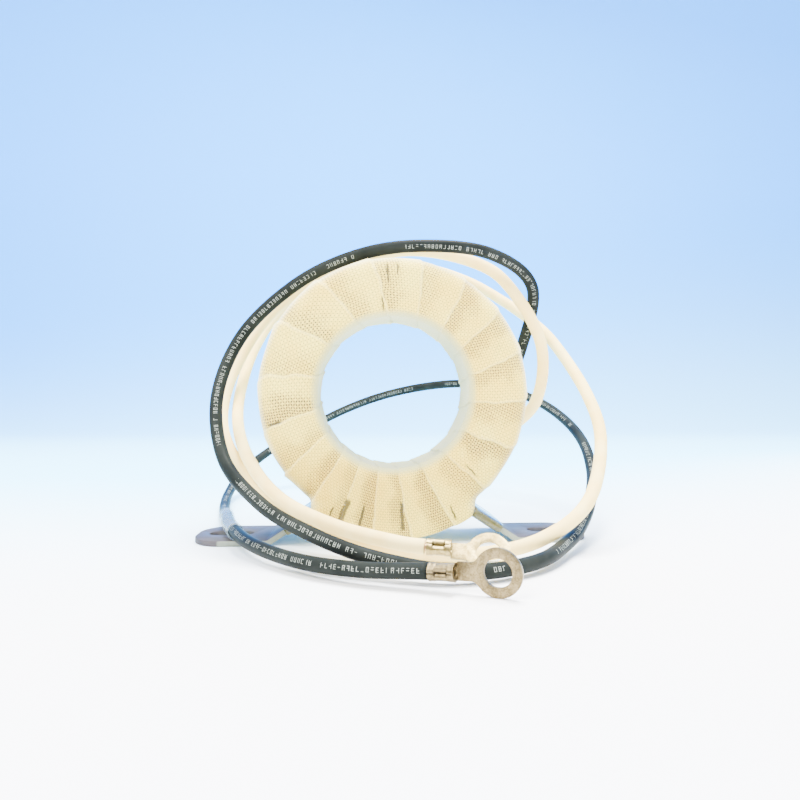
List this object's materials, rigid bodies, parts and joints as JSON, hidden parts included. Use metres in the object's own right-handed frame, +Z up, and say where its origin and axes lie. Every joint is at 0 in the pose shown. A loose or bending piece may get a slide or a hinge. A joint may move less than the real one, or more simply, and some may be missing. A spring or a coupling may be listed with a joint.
{
  "type": "current transformer",
  "caption": "Ring-type current transformer: cloth-taped toroidal coil on a bent steel mounting strap, with loose insulated leads ending in ring terminals.",
  "frame": {"origin": "on the surface that the strap's feet stand on, midway between the feet", "axes": "+X along the strap to the right foot, +Y along the coil's axis away from the front, +Z up"},
  "size_m": [0.1256, 0.171, 0.0883],
  "materials": {
    "core_steel": "rolled strip",
    "insulation_paper": "matte",
    "winding_copper": "enamelled copper wire",
    "clear_film": "glossy",
    "varnished_cloth": "varnished",
    "zinc_plate": "zinc plated, faintly iridescent",
    "cloth_tape": "woven",
    "black_insulation": "satin",
    "white_insulation": "satin",
    "bare_strands": "bright copper",
    "tinned_copper": "matte tin",
    "clear_sleeve": "clear"
  },
  "bodies": {
    "root": {"steel_core": "core_steel", "core_insulation": "insulation_paper", "secondary_winding": "winding_copper", "winding_film": "clear_film", "saddle_pad": "varnished_cloth", "mounting_bracket": "zinc_plate", "left_arm_sleeve": "varnished_cloth", "right_arm_sleeve": "varnished_cloth", "cloth_tape": "cloth_tape", "black_lead": "black_insulation", "white_lead": "white_insulation", "black_lead_strands": "bare_strands", "white_lead_strands": "bare_strands", "black_lead_terminal": "tinned_copper", "white_lead_terminal": "tinned_copper", "marker_sleeve": "clear_sleeve"}
  },
  "joints": []
}
